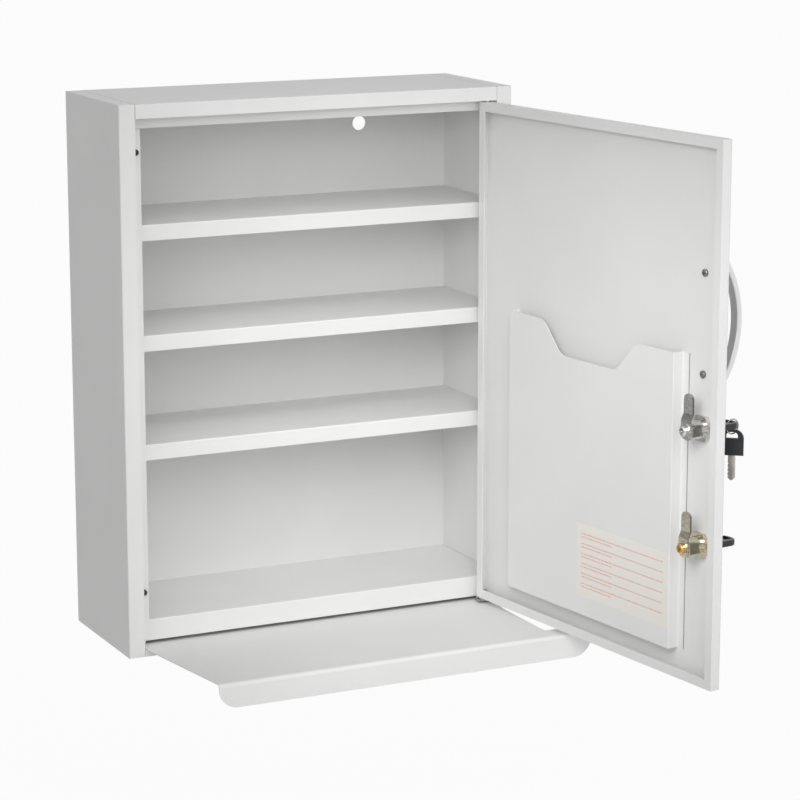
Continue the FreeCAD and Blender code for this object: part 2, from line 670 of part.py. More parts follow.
def lock(name):
    """Cam lock: housing, nut, key-operated plug, cranked cam, washer and screw."""
    across = LOCK_AXIS
    height = LOCK_LEVELS[name.split("_")[0]]
    turned(name + "_housing", "door", across, height, [
        ("-flange_height", "flange_height", "flange_diameter", "plug_diameter + 2 * plug_clearance"),
        ("0", "barrel_depth", "barrel_diameter", "plug_diameter + 2 * plug_clearance")])
    housing = doc.getObject(name + "_housing")
    rim_y = -size("hinge_depth") - size("flange_height")
    dress(housing, "Fillet", lambda edge: near(edge.CenterOfMass.y, rim_y)
          and near(edge.Curve.Radius, size("flange_diameter") / 2), "flange_height * edge_share")
    flats = new_sketch(housing, "XZ", "hinge_depth - barrel_depth")
    for sign in ("-", "+"):
        rectangle(flats, across + sign + " barrel_flat / 2",
                  across + sign + " (barrel_diameter / 2 + overrun)",
                  height + " - barrel_diameter", height + " + barrel_diameter")
    pocket(housing, flats, "barrel_depth - steel - nut_height", along=True)
    nut = new_body(name + "_nut", "door")
    hexagon = new_sketch(nut, "XZ", "hinge_depth - steel")
    right = across + " + " + NUT_POINT
    left = across + " - " + NUT_POINT
    top = height + " + nut_width / 2"
    foot = height + " - nut_width / 2"
    outline(hexagon, [(right, height), (right + " / 2", top), (left + " / 2", top), (left, height),
                      (left + " / 2", foot), (right + " / 2", foot)])
    circle(hexagon, across, height, "barrel_diameter + 2 * pin_clearance")
    pad(nut, hexagon, "nut_height", against=True)
    plug = turned(name + "_plug", "door", across, height, [
        ("-flange_height - plug_rim_height", "plug_rim_height - plug_clearance", "plug_rim", ""),
        ("-flange_height - plug_clearance", "flange_height + barrel_depth + cam_gap + plug_clearance",
         "plug_diameter", "")])
    shank = new_sketch(plug, "XZ", "hinge_depth - barrel_depth - cam_gap")
    rectangle(shank, across + " - shank_width / 2", across + " + shank_width / 2",
              height + " - shank_width / 2", height + " + shank_width / 2")
    pad(plug, shank, "cam_thickness", against=True)
    keyway = new_sketch(plug, "XZ", "hinge_depth + flange_height + plug_rim_height + overrun")
    rectangle(keyway, across + " - key_width / 2 - key_gap", across + " + key_width / 2 + key_gap",
              height + " - key_thickness / 2 - key_gap", height + " + key_thickness / 2 + key_gap")
    pocket(plug, keyway, "overrun + key_reach + key_gap")
    thread = new_sketch(plug, "XZ", "hinge_depth - barrel_depth - cam_gap - cam_thickness - overrun")
    circle(thread, across, height, "cam_screw_shank + 2 * pin_clearance")
    pocket(plug, thread, "overrun + cam_screw_length", along=True)
    cam(name, across, height)
    seat = "barrel_depth + cam_gap + cam_thickness"
    turned(name + "_cam_washer", "door", across, height, [
        (seat, "cam_washer_thickness", "cam_washer_diameter", "cam_screw_shank + 4 * pin_clearance")])
    screw = turned(name + "_cam_screw", "door", across, height, [
        (seat + " + cam_washer_thickness", "cam_screw_height", "cam_screw_head", ""),
        (seat + " + cam_washer_thickness - cam_screw_length", "cam_screw_length", "cam_screw_shank", "")])
    head_y = (size("barrel_depth") + size("cam_gap") + size("cam_thickness") + size("cam_washer_thickness")
              + size("cam_screw_height") - size("hinge_depth"))
    dress(screw, "Fillet", lambda edge: near(edge.CenterOfMass.y, head_y), "cam_screw_height * dome_share")
    cross = new_sketch(screw, "XZ", "hinge_depth - (" + seat + " + cam_washer_thickness + cam_screw_height)")
    outline(cross, [
        (across + " - cross_width / 2", height + " - cross_length / 2"),
        (across + " + cross_width / 2", height + " - cross_length / 2"),
        (across + " + cross_width / 2", height + " - cross_width / 2"),
        (across + " + cross_length / 2", height + " - cross_width / 2"),
        (across + " + cross_length / 2", height + " + cross_width / 2"),
        (across + " + cross_width / 2", height + " + cross_width / 2"),
        (across + " + cross_width / 2", height + " + cross_length / 2"),
        (across + " - cross_width / 2", height + " + cross_length / 2"),
        (across + " - cross_width / 2", height + " + cross_width / 2"),
        (across + " - cross_length / 2", height + " + cross_width / 2"),
        (across + " - cross_length / 2", height + " - cross_width / 2"),
        (across + " - cross_width / 2", height + " - cross_width / 2")])
    pocket(screw, cross, "cross_depth", along=True)


def cam(name, across, height):
    """Cranked strip that turns behind the door's stop lip, with a square hole on the plug."""
    body = new_body(name + "_cam", "door")
    root = "barrel_depth + cam_gap - hinge_depth"
    side = new_sketch(body, "YZ", across)
    bend = height + " + cam_crank_start"
    end = bend + " + cam_crank_run"
    outline(side, [
        (root, height + " - cam_tail"), (root + " + cam_thickness", height + " - cam_tail"),
        (root + " + cam_thickness", bend), (root + " + cam_thickness - cam_crank", end),
        (root + " + cam_thickness - cam_crank", height + " + cam_length"),
        (root + " - cam_crank", height + " + cam_length"), (root + " - cam_crank", end), (root, bend)])
    pad(body, side, "cam_width", both=True)
    hole = new_sketch(body, "XZ", "-(" + root + " - overrun)")
    rectangle(hole, across + " - shank_width / 2 - pin_clearance",
              across + " + shank_width / 2 + pin_clearance",
              height + " - shank_width / 2 - pin_clearance", height + " + shank_width / 2 + pin_clearance")
    pocket(body, hole, "2 * overrun + cam_thickness")
    heel, tip = height_range(body)
    dress(body, "Fillet", lambda edge: runs_along(edge, "y") and near(edge.CenterOfMass.z, tip),
          "cam_width * cam_tip_share")
    dress(body, "Fillet", lambda edge: runs_along(edge, "y") and near(edge.CenterOfMass.z, heel),
          "cam_width * cam_heel_share")


def key(name):
    """Flat blade in the keyway and a moulded head with a rounded end and a ring hole."""
    across = LOCK_AXIS
    height = LOCK_LEVELS[name.split("_")[0]]
    rim = "-hinge_depth - flange_height - plug_rim_height"
    blade = new_body(name + "_blade", "door")
    flat = new_sketch(blade, "XY", height)
    left = across + " - key_width / 2"
    right = across + " + key_width / 2"
    outline(flat, [
        (left, rim + " - key_neck"), (right, rim + " - key_neck"), (right, rim + " + key_reach - key_tip"),
        (right + " - key_tip", rim + " + key_reach"), (left + " + key_tip", rim + " + key_reach"),
        (left, rim + " + key_reach - key_tip")])
    pad(blade, flat, "key_thickness", both=True)
    bits = new_sketch(blade, "XY", height)
    for step in range(KEY_CUTS):
        place = rim + " + key_reach - key_tip - key_cut_pitch * %d" % step
        outline(bits, [(right + " - key_cut_depth", place + " - key_cut_width / 2"),
                       (right + " + key_cut_depth", place),
                       (right + " + key_cut_depth", place + " - key_cut_width")])
    pocket(blade, bits, "key_thickness + overrun", both=True)
    head = new_body(name + "_head", "door")
    shape = new_sketch(head, "XY", height)
    low = rim + " - key_neck - key_head_length"
    rectangle(shape, across + " - key_head_width / 2", across + " + key_head_width / 2",
              low, rim + " - key_neck")
    pad(head, shape, "key_head_thickness", both=True)
    hole = new_sketch(head, "XY", height)
    rectangle(hole, across + " - key_hole_width / 2", across + " + key_hole_width / 2",
              low + " + key_hole_rim", low + " + key_hole_rim + key_hole_length")
    pocket(head, hole, "key_head_thickness + overrun", both=True)
    outer_y = -(size("hinge_depth") + size("flange_height") + size("plug_rim_height") + size("key_neck")
                + size("key_head_length"))
    dress(head, "Fillet", lambda edge: runs_along(edge, "z") and near(edge.CenterOfMass.y, outer_y),
          "key_head_round")
    doc.recompute()
    foot, top = height_range(head)
    rim_length = size("key_hole_width") + size("steel")
    dress(head, "Fillet", lambda edge: (near(edge.CenterOfMass.z, foot) or near(edge.CenterOfMass.z, top))
          and edge.BoundBox.XLength + edge.BoundBox.YLength > rim_length, "key_head_edge")


def hanging_sketch(body, across, depth):
    """An upright sketch through the hanging point, turned about the vertical by the spare key's angle."""
    sketch = new_sketch(body, "XZ")
    upright = FreeCAD.Rotation(FreeCAD.Vector(0, 1, 0), 1)
    sketch.AttachmentOffset = FreeCAD.Placement(FreeCAD.Vector(), upright)
    sketch.setExpression("AttachmentOffset.Base.x", formula(across))
    sketch.setExpression("AttachmentOffset.Base.z", formula("-(" + depth + ")"))
    sketch.setExpression("AttachmentOffset.Rotation.Angle", formula("spare_angle"))
    return sketch


def ring_and_spare():
    """Split-ring hanging in the upper key's hole, and the spare key hanging on the ring."""
    across = LOCK_AXIS
    reach = "hinge_depth + flange_height + plug_rim_height + key_neck + key_head_length"
    eye = "-(" + reach + ") + key_hole_rim / 2"
    centre_z = LOCK_LEVELS["upper"] + " - ring_radius + key_head_thickness / 2 + ring_wire"
    ring = new_body("key_ring", "door")
    wire = new_sketch(ring, "XY", centre_z)
    circle(wire, across, eye + " + ring_radius", "ring_wire")
    axis = wire.addGeometry(Part.LineSegment(FreeCAD.Vector(0, 0, 0), FreeCAD.Vector(1, 0, 0)), True)
    pin_down(wire, axis, 1, across, eye)
    pin_down(wire, axis, 2, across + " + ring_radius", eye)
    turn = ring.newObject("PartDesign::Revolution", "key_ring_turn")
    turn.Profile = wire
    turn.ReferenceAxis = (wire, ["Axis0"])
    # The spare key hangs from the ring's lowest point, turned part of the way round the ring's wire.
    hang_z = centre_z + " - ring_radius"
    head = new_body("spare_key_head", "door")
    blade = new_body("spare_key_blade", "door")
    top = hang_z + " + ring_wire / 2 + spare_rim + spare_drop"
    bottom = top + " - key_head_length"
    shape = hanging_sketch(head, across, eye)
    rectangle(shape, "-key_head_width / 2", "key_head_width / 2", bottom, top)
    pad(head, shape, "key_head_thickness / 2", both=True)
    hole = hanging_sketch(head, across, eye)
    rectangle(hole, "-key_hole_width / 2", "key_hole_width / 2", top + " - spare_rim - spare_hole",
              top + " - spare_rim")
    pocket(head, hole, "key_head_thickness + overrun", both=True)
    flat = hanging_sketch(blade, across, eye)
    low = bottom + " - spare_blade"
    outline(flat, [
        ("-key_width / 2", bottom), ("-key_width / 2", low + " + key_tip"), ("-key_width / 2 + key_tip", low),
        ("key_width / 2 - key_tip", low), ("key_width / 2", low + " + key_tip"), ("key_width / 2", bottom)])
    pad(blade, flat, "key_thickness", both=True)
    bits = hanging_sketch(blade, across, eye)
    for step in range(KEY_CUTS):
        place = low + " + key_tip + key_cut_pitch * %d" % step
        outline(bits, [("key_width / 2 - key_cut_depth", place + " + key_cut_width / 2"),
                       ("key_width / 2 + key_cut_depth", place),
                       ("key_width / 2 + key_cut_depth", place + " + key_cut_width")])
    pocket(blade, bits, "key_thickness + overrun", both=True)
    doc.recompute()
    foot_z, top_z = height_range(head)
    for level, radius in ((top_z, "key_head_round"), (top_z - size("spare_rim"), "spare_hole_round")):
        dress(head, "Fillet", lambda edge: near(edge.CenterOfMass.z, level)
              and near(edge.Length, size("key_head_thickness") / 2), radius)


fill_sheet()
carcass()
shelves()
tray_guide("left_tray_guide", "-")
tray_guide("right_tray_guide", "")
tray()
hinges()
buffers()
door_panel()
door_pocket()
handle()
handle_screws()
for lock_name in ("upper_lock", "lower_lock"):
    lock(lock_name)
for key_name in ("upper_key", "lower_key"):
    key(key_name)
ring_and_spare()
doc.recompute()

for item in doc.Objects:
    if "Invalid" in item.State or "Error" in item.State:
        raise RuntimeError(item.Name + " failed: " + ", ".join(item.State))

os.makedirs("parts", exist_ok=True)
pairs = [item for item in doc.Objects if item.TypeId == "Part::Compound"]
paired = [link.Name for pair in pairs for link in pair.Links]
bodies = [item for item in doc.Objects if item.TypeId == "PartDesign::Body" and item.Name not in paired]
for node in bodies + pairs:
    if node.Shape.isNull() or not node.Shape.isValid():
        raise RuntimeError(node.Label + " has no valid shape")
    node.Shape.exportStep("parts/" + node.Label + ".step")
print(len(bodies + pairs), "parts written")
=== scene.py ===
"""Finishes, notice card and studio for a wall-hung steel medicine cabinet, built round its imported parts."""

import json
import math

import bmesh
import bpy
from mathutils import Matrix, Vector


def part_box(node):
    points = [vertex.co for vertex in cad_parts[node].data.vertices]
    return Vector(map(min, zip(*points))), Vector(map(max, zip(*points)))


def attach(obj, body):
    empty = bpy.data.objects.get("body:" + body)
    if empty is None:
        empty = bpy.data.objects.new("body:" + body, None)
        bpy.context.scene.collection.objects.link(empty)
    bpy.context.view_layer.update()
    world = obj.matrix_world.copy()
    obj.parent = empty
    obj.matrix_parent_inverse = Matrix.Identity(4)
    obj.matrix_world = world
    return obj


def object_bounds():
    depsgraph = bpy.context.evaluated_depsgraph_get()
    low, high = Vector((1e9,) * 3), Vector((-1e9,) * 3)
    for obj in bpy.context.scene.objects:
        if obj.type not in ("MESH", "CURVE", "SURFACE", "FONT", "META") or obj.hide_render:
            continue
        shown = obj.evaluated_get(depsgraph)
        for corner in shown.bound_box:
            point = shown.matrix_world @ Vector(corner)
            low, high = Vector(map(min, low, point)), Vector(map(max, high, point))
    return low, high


bl_info = {
    "name": "Medicine cabinet finishes",
    "version": (1, 0, 0),
    "blender": (4, 5, 0),
    "location": "View3D > Sidebar > Cabinet",
    "description": "Coats the sheet metal, finishes locks and keys, adds the notice card and the studio",
    "category": "Object",
}

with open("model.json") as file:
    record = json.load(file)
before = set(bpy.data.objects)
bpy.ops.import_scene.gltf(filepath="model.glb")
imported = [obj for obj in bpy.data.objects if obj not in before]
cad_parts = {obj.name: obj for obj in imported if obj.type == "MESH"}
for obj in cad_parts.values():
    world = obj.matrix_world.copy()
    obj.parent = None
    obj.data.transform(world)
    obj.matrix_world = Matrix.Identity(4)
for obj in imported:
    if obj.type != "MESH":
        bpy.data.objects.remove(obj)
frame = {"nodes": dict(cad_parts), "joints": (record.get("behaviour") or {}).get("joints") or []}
CAD_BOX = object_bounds()
NODES = frame["nodes"]
DOOR_JOINT = next(joint for joint in frame["joints"] if joint["name"] == "door_hinge")
DOOR_ANGLE = -math.radians(DOOR_JOINT["range_deg"][0])
# Points this close to a plane, in metres, lie in it.
FLAT_WITHIN = 1e-5
# The card's ruling repeats every three rows: a blank one, a short one and a long one.
RULE_ROWS = 3
# Rows added to the count, so that it stays above zero in the card's lower half.
ROWS_BELOW = 60

# Nodes by finish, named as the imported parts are.
SHELVES = ("upper_shelf", "middle_shelf", "lower_shelf", "floor_panel")
SHEET_METAL = ("left_side_panel", "right_side_panel", "top_panel", "bottom_panel", "back_panel",
               "pull_out_tray", "door_panel", "door_pocket") + SHELVES
UPPER_LOCK = ("upper_lock_housing", "upper_lock_nut", "upper_lock_plug", "upper_lock_cam",
              "upper_lock_cam_washer", "upper_lock_cam_screw")
LOWER_LOCK = ("lower_lock_housing", "lower_lock_nut", "lower_lock_plug", "lower_lock_cam",
              "lower_lock_cam_washer")
ZINC_PARTS = ("lower_hinge_pin", "upper_hinge_pin", "lower_hinge_bracket")
KEY_METAL = ("upper_key_blade", "lower_key_blade", "spare_key_blade", "key_ring")
KEY_HEADS = ("upper_key_head", "lower_key_head", "spare_key_head")
NYLON_PARTS = ("left_tray_guide", "right_tray_guide", "hinge_washer")


class CabinetPaint(bpy.types.PropertyGroup):
    """Powder coat of the sheet metal and satin metal of the handle."""

    coat_colour: bpy.props.FloatVectorProperty(
        name="Coat colour", description="White of the powder coat", subtype="COLOR", size=3, min=0, max=1,
        default=(0.83, 0.83, 0.825))
    coat_shade: bpy.props.FloatProperty(
        name="Coat shade", description="How far the coat darkens in its faint clouds", subtype="FACTOR",
        min=0, max=1, default=0.03)
    coat_roughness: bpy.props.FloatProperty(
        name="Coat roughness", description="Mean roughness of the satin coat", subtype="FACTOR",
        min=0, max=1, default=0.42)
    peel_size: bpy.props.FloatProperty(
        name="Peel size", description="Spacing of the coat's fine orange peel", unit="LENGTH",
        default=0.0016)
    peel_height: bpy.props.FloatProperty(
        name="Peel height", description="Height of the coat's fine orange peel", unit="LENGTH",
        default=0.00004)
    handle_colour: bpy.props.FloatVectorProperty(
        name="Handle colour", description="Grey of the bow handle", subtype="COLOR", size=3, min=0, max=1,
        default=(0.74, 0.745, 0.75))
    handle_roughness: bpy.props.FloatProperty(
        name="Handle roughness", description="Mean roughness of the handle's satin metal", subtype="FACTOR",
        min=0, max=1, default=0.3)


class CabinetWelds(bpy.types.PropertyGroup):
    """Spot welds where the shelves meet the back panel, and painted shade in the seams of the top and the
    door pocket.
    """

    radius: bpy.props.FloatProperty(
        name="Radius", description="Radius of a weld mark", unit="LENGTH", default=0.0019)
    height: bpy.props.FloatProperty(
        name="Height", description="How far a weld mark stands out", unit="LENGTH", default=0.0004)
    near_end: bpy.props.FloatProperty(
        name="Near end", description="Distance of the outer weld from the cabinet's side", unit="LENGTH",
        default=0.043)
    spacing: bpy.props.FloatProperty(
        name="Spacing", description="Distance between neighbouring welds at one end", unit="LENGTH",
        default=0.059)
    seam_depth: bpy.props.FloatProperty(
        name="Seam depth", description="Thickness of the dark strip in a seam", unit="LENGTH",
        default=0.0003)
    seam_sink_share: bpy.props.FloatProperty(
        name="Seam sink",
        description="Share of its thickness by which a top strip's middle lies below the top panel",
        subtype="FACTOR", min=0.5, max=2, default=0.7)
    # The dark line along the pocket's edge is painted shade, standing in for the shadow of its flange.
    pocket_seam_width: bpy.props.FloatProperty(
        name="Pocket seam width", description="Width of the dark line along the pocket's lock-side edge",
        unit="LENGTH", default=0.0004)
    # The seam colour is painted shade: the dark of the shadow inside a narrow seam.
    seam_shade_colour: bpy.props.FloatVectorProperty(
        name="Seam colour", description="Dark line of the shaded seam", subtype="COLOR", size=3, min=0, max=1,
        default=(0.16, 0.16, 0.16))
    # Roughness of the painted-shade strips in the seams.
    seam_roughness: bpy.props.FloatProperty(
        name="Seam roughness", description="Mean roughness of the shaded seam", subtype="FACTOR",
        min=0, max=1, default=0.8)


class CabinetMetal(bpy.types.PropertyGroup):
    """Plated and moulded finishes of the locks, keys and small parts."""

    nickel_colour: bpy.props.FloatVectorProperty(
        name="Nickel", description="Plating of the upper lock", subtype="COLOR", size=3, min=0, max=1,
        default=(0.80, 0.79, 0.77))
    straw_colour: bpy.props.FloatVectorProperty(
        name="Straw nickel", description="Warmer plating of the lower lock", subtype="COLOR", size=3,
        min=0, max=1, default=(0.82, 0.77, 0.62))
    brass_colour: bpy.props.FloatVectorProperty(
        name="Yellow plate", description="Plating of the lower cam screw", subtype="COLOR", size=3,
        min=0, max=1, default=(0.78, 0.52, 0.22))
    zinc_colour: bpy.props.FloatVectorProperty(
        name="Zinc", description="Plating of the hinge pins and their bracket", subtype="COLOR", size=3,
        min=0, max=1, default=(0.52, 0.52, 0.52))
    screw_colour: bpy.props.FloatVectorProperty(
        name="Handle screws", description="Darker plating of the handle screws", subtype="COLOR", size=3,
        min=0, max=1, default=(0.34, 0.34, 0.34))
    key_colour: bpy.props.FloatVectorProperty(
        name="Key metal", description="Plating of the key blades and the ring", subtype="COLOR", size=3,
        min=0, max=1, default=(0.60, 0.57, 0.54))
    plating_roughness: bpy.props.FloatProperty(
        name="Plating roughness", description="Mean roughness of the bright plating", subtype="FACTOR",
        min=0, max=1, default=0.13)
    zinc_roughness: bpy.props.FloatProperty(
        name="Zinc roughness", description="Mean roughness of the duller zinc", subtype="FACTOR",
        min=0, max=1, default=0.23)
    head_colour: bpy.props.FloatVectorProperty(
        name="Key head", description="Black of the moulded key heads", subtype="COLOR", size=3,
        min=0, max=1, default=(0.012, 0.014, 0.018))
    rubber_colour: bpy.props.FloatVectorProperty(
        name="Buffer rubber", description="Dark rubber of the door buffers", subtype="COLOR", size=3,
        min=0, max=1, default=(0.05, 0.05, 0.05))
    nylon_colour: bpy.props.FloatVectorProperty(
        name="Nylon", description="White nylon of the tray guides and the washer", subtype="COLOR", size=3,
        min=0, max=1, default=(0.74, 0.74, 0.71))


class CabinetCard(bpy.types.PropertyGroup):
    """The blank ruled notice card on the door pocket."""

    width: bpy.props.FloatProperty(
        name="Width", description="Card width along the door", unit="LENGTH", default=0.146)
    height: bpy.props.FloatProperty(
        name="Height", description="Card height", unit="LENGTH", default=0.074)
    thickness: bpy.props.FloatProperty(
        name="Thickness", description="Card thickness", unit="LENGTH", default=0.00035)
    from_edge: bpy.props.FloatProperty(
        name="From pocket edge", description="Gap between the card and the pocket's lock-side edge",
        unit="LENGTH", default=0.001)
    from_foot: bpy.props.FloatProperty(
        name="From pocket foot", description="Gap between the card and the pocket's lower edge",
        unit="LENGTH", default=0.019)
    corner: bpy.props.FloatProperty(
        name="Corner", description="Radius of the card's corners", unit="LENGTH", default=0.0015)
    paper_colour: bpy.props.FloatVectorProperty(
        name="Paper", description="Colour of the card", subtype="COLOR", size=3, min=0, max=1,
        default=(0.87, 0.84, 0.79))
    rule_colour: bpy.props.FloatVectorProperty(
        name="Ruling", description="Colour of the ruled lines", subtype="COLOR", size=3, min=0, max=1,
        default=(0.78, 0.30, 0.25))
    rule_pitch: bpy.props.FloatProperty(
        name="Rule pitch", description="Spacing of the ruled lines", unit="LENGTH", default=0.0034)
    line_share: bpy.props.FloatProperty(
        name="Line share", description="Share of the rule pitch that a line fills", subtype="FACTOR",
        min=0, max=1, default=0.3)
    blank_share: bpy.props.FloatProperty(
        name="Blank share", description="Share of the card's width that a short line leaves blank",
        subtype="FACTOR", min=0, max=1, default=0.55)
    roughness: bpy.props.FloatProperty(
        name="Paper roughness", description="Mean roughness of the card", subtype="FACTOR", min=0, max=1,
        default=0.6)
    margin: bpy.props.FloatProperty(
        name="Margin", description="Blank margin round the ruling", unit="LENGTH", default=0.008)


class CabinetStage(bpy.types.PropertyGroup):
    """Camera, floor and lights."""

    camera_place: bpy.props.FloatVectorProperty(
        name="Camera", description="Camera position in the part's frame", subtype="XYZ", unit="LENGTH",
        size=3, default=(-1.15456, -2.68897, 0.33563))
    camera_turn: bpy.props.FloatProperty(
        name="Camera turn", description="Turn to the right from looking straight at the wall",
        subtype="ANGLE", default=math.radians(26.0436))
    camera_dip: bpy.props.FloatProperty(
        name="Camera dip", description="How far the camera looks down", subtype="ANGLE",
        default=math.radians(12.0367))
    camera_lens: bpy.props.FloatProperty(
        name="Lens", description="Focal length in millimetres", default=127.35)
    camera_sensor: bpy.props.FloatProperty(
        name="Sensor", description="Sensor width in millimetres", default=36.0)
    floor_drop: bpy.props.FloatProperty(
        name="Floor drop", description="How far the floor lies below the cabinet", unit="LENGTH",
        default=0.30)
    floor_reach: bpy.props.FloatProperty(
        name="Floor reach", description="How far the floor runs out from its middle", unit="LENGTH",
        default=40.0)
    floor_colour: bpy.props.FloatVectorProperty(
        name="Floor colour", description="Pale floor that takes the shadow", subtype="COLOR", size=3,
        min=0, max=1, default=(0.9, 0.9, 0.9))
    floor_roughness: bpy.props.FloatProperty(
        name="Floor roughness", description="Roughness of the floor", subtype="FACTOR", min=0, max=1,
        default=0.9)
    floor_shade: bpy.props.FloatProperty(
        name="Floor shade", description="Share of the object's shadow that the white floor shows",
        subtype="FACTOR", min=0, max=1, default=0.05)
    sky_level: bpy.props.FloatProperty(
        name="Sky level", description="Soft light from all round", min=0, max=2, default=0.12)
    front_level: bpy.props.FloatProperty(
        name="Front level", description="Further soft light from the whole front", min=0, max=2,
        default=0.97)
    front_start: bpy.props.FloatProperty(
        name="Front start", description="Heading along Y at which the front light begins", min=-1, max=1,
        default=0.1)
    front_full: bpy.props.FloatProperty(
        name="Front full", description="Heading along Y at which the front light is full", min=-1, max=1,
        default=-0.6)
    door_place: bpy.props.FloatVectorProperty(
        name="Door light place", description="Place of the door softbox, with Z from the middle height",
        subtype="XYZ", unit="LENGTH", size=3, default=(-0.25, -0.85, 0.32))
    door_aim: bpy.props.FloatVectorProperty(
        name="Door light aim", description="Point that the door softbox looks at, with Z as in its place",
        subtype="XYZ", unit="LENGTH", size=3, default=(0.18, -0.34, -0.06))
    door_size: bpy.props.FloatVectorProperty(
        name="Door light size", description="Width and height of the door softbox", unit="LENGTH", size=2,
        default=(0.4, 0.4))
    door_power: bpy.props.FloatProperty(
        name="Door light", description="Power of the gridded softbox that looks at the open door",
        unit="POWER", default=0.62)
    door_spread: bpy.props.FloatProperty(
        name="Door light spread", description="Beam angle of the door softbox", subtype="ANGLE",
        default=math.radians(72))
    shelf_place: bpy.props.FloatVectorProperty(
        name="Shelf light place", description="Place of the shelf softbox, with Z from the middle height",
        subtype="XYZ", unit="LENGTH", size=3, default=(-0.1, -0.8, 0.75))
    shelf_aim: bpy.props.FloatVectorProperty(
        name="Shelf light aim", description="Point that the shelf softbox looks at, with Z as in its place",
        subtype="XYZ", unit="LENGTH", size=3, default=(0.0, -0.13, -0.02))
    shelf_size: bpy.props.FloatVectorProperty(
        name="Shelf light size", description="Width and height of the shelf softbox", unit="LENGTH", size=2,
        default=(0.3, 0.2))
    shelf_power: bpy.props.FloatProperty(
        name="Shelf light", description="Power of the gridded softbox that looks down on the shelves",
        unit="POWER", default=0.095)
    shelf_spread: bpy.props.FloatProperty(
        name="Shelf light spread", description="Beam angle of the shelf softbox", subtype="ANGLE",
        default=math.radians(36))
    side_place: bpy.props.FloatVectorProperty(
        name="Side light place", description="Place of the side softbox, with Z from the middle height",
        subtype="XYZ", unit="LENGTH", size=3, default=(1.5, -0.9, 0.1))
    side_size: bpy.props.FloatVectorProperty(
        name="Side light size", description="Width and height of the side softbox", unit="LENGTH", size=2,
        default=(1.2, 1.2))
    side_power: bpy.props.FloatProperty(
        name="Side light",
        description="Power of the softbox at the right, which looks at the door's outside",
        unit="POWER", default=0.6)


def new_finish(name, roughness, metallic=0.0, specular=0.5):
    """A material with its principled shader set, and the shader."""
    finish = bpy.data.materials.new(name)
    finish.use_nodes = True
    shader = finish.node_tree.nodes["Principled BSDF"]
    shader.inputs["Roughness"].default_value = roughness
    shader.inputs["Metallic"].default_value = metallic
    shader.inputs["Specular IOR Level"].default_value = specular
    return finish, shader


def add_node(finish, kind, **settings):
    """A node with some of its properties or inputs set."""
    node = finish.node_tree.nodes.new(kind)
    for name, value in settings.items():
        if name in node.inputs:
            node.inputs[name].default_value = value
        else:
            setattr(node, name, value)
    return node


def join(finish, source, target):
    """Link two sockets of a material."""
    finish.node_tree.links.new(source, target)


def grain(finish, size, stretch=(1, 1, 1), detail=3.0):
    """Noise of one size in metres in the piece's own space, drawn out along some axes."""
    place = add_node(finish, "ShaderNodeTexCoord")
    drawn = add_node(finish, "ShaderNodeMapping")
    drawn.inputs["Scale"].default_value = Vector(stretch) / size
    noise = add_node(finish, "ShaderNodeTexNoise", Scale=1.0, Detail=detail)
    join(finish, place.outputs["Object"], drawn.inputs["Vector"])
    join(finish, drawn.outputs["Vector"], noise.inputs["Vector"])
    return noise


def vary_colour(finish, shader, colour, shade, size, stretch=(1, 1, 1), dark_end=0.3, light_end=0.7):
    """Let the base colour drift between a colour and a darker one."""
    noise = grain(finish, size, stretch)
    ramp = add_node(finish, "ShaderNodeValToRGB")
    darker, lighter = ramp.color_ramp.elements
    darker.position = dark_end
    darker.color = [part * (1 - shade) for part in colour] + [1]
    lighter.position = light_end
    lighter.color = list(colour) + [1]
    join(finish, noise.outputs["Fac"], ramp.inputs["Fac"])
    join(finish, ramp.outputs["Color"], shader.inputs["Base Color"])


def vary_roughness(finish, shader, middle, spread, size, stretch=(1, 1, 1)):
    """Let the roughness drift to either side of its middle."""
    noise = grain(finish, size, stretch)
    reach = add_node(finish, "ShaderNodeMapRange")
    reach.inputs["To Min"].default_value = middle - spread
    reach.inputs["To Max"].default_value = middle + spread
    join(finish, noise.outputs["Fac"], reach.inputs["Value"])
    join(finish, reach.outputs["Result"], shader.inputs["Roughness"])


def roughen(finish, shader, size, height, stretch=(1, 1, 1), detail=2.0, strength=0.5):
    """Fine relief of one size and height."""
    noise = grain(finish, size, stretch, detail)
    bump = add_node(finish, "ShaderNodeBump", Strength=strength, Distance=height)
    join(finish, noise.outputs["Fac"], bump.inputs["Height"])
    join(finish, bump.outputs["Normal"], shader.inputs["Normal"])


def coat(finish, *names):
    """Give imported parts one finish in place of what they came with."""
    for name in names:
        slots = NODES[name].data.materials
        slots.clear()
        slots.append(finish)


def powder_coat(paint):
    """White satin coat with faint clouds and fine orange peel."""
    finish, shader = new_finish("white_powder_coat", paint.coat_roughness, specular=0.4)
    vary_colour(finish, shader, paint.coat_colour, paint.coat_shade, size=0.09)
    vary_roughness(finish, shader, paint.coat_roughness, spread=0.05, size=0.03)
    roughen(finish, shader, paint.peel_size, paint.peel_height)
    return finish


def plated(name, colour, roughness, stretch=(1, 1, 1)):
    """Bright plating with fine drawn grain and a little cloudiness."""
    finish, shader = new_finish(name, roughness, metallic=1.0)
    vary_colour(finish, shader, colour, shade=0.42, size=0.005, stretch=stretch)
    vary_roughness(finish, shader, roughness, spread=0.09, size=0.003, stretch=stretch)
    roughen(finish, shader, size=0.0007, height=0.00002, stretch=stretch)
    return finish


def moulded(name, colour, roughness, specular):
    """Moulded plastic or rubber with a fine spark texture."""
    finish, shader = new_finish(name, roughness, specular=specular)
    vary_colour(finish, shader, colour, shade=0.25, size=0.006)
    vary_roughness(finish, shader, roughness, spread=0.08, size=0.002)
    roughen(finish, shader, size=0.0005, height=0.00004)
    return finish


class CABINET_OT_coat_sheet_metal(bpy.types.Operator):
    """Powder-coat the carcass, shelves, tray, door and pocket"""

    bl_idname = "cabinet.coat_sheet_metal"
    bl_label = "Coat sheet metal"

    def execute(self, context):
        coat(powder_coat(context.scene.cabinet_paint), *SHEET_METAL)
        return {"FINISHED"}


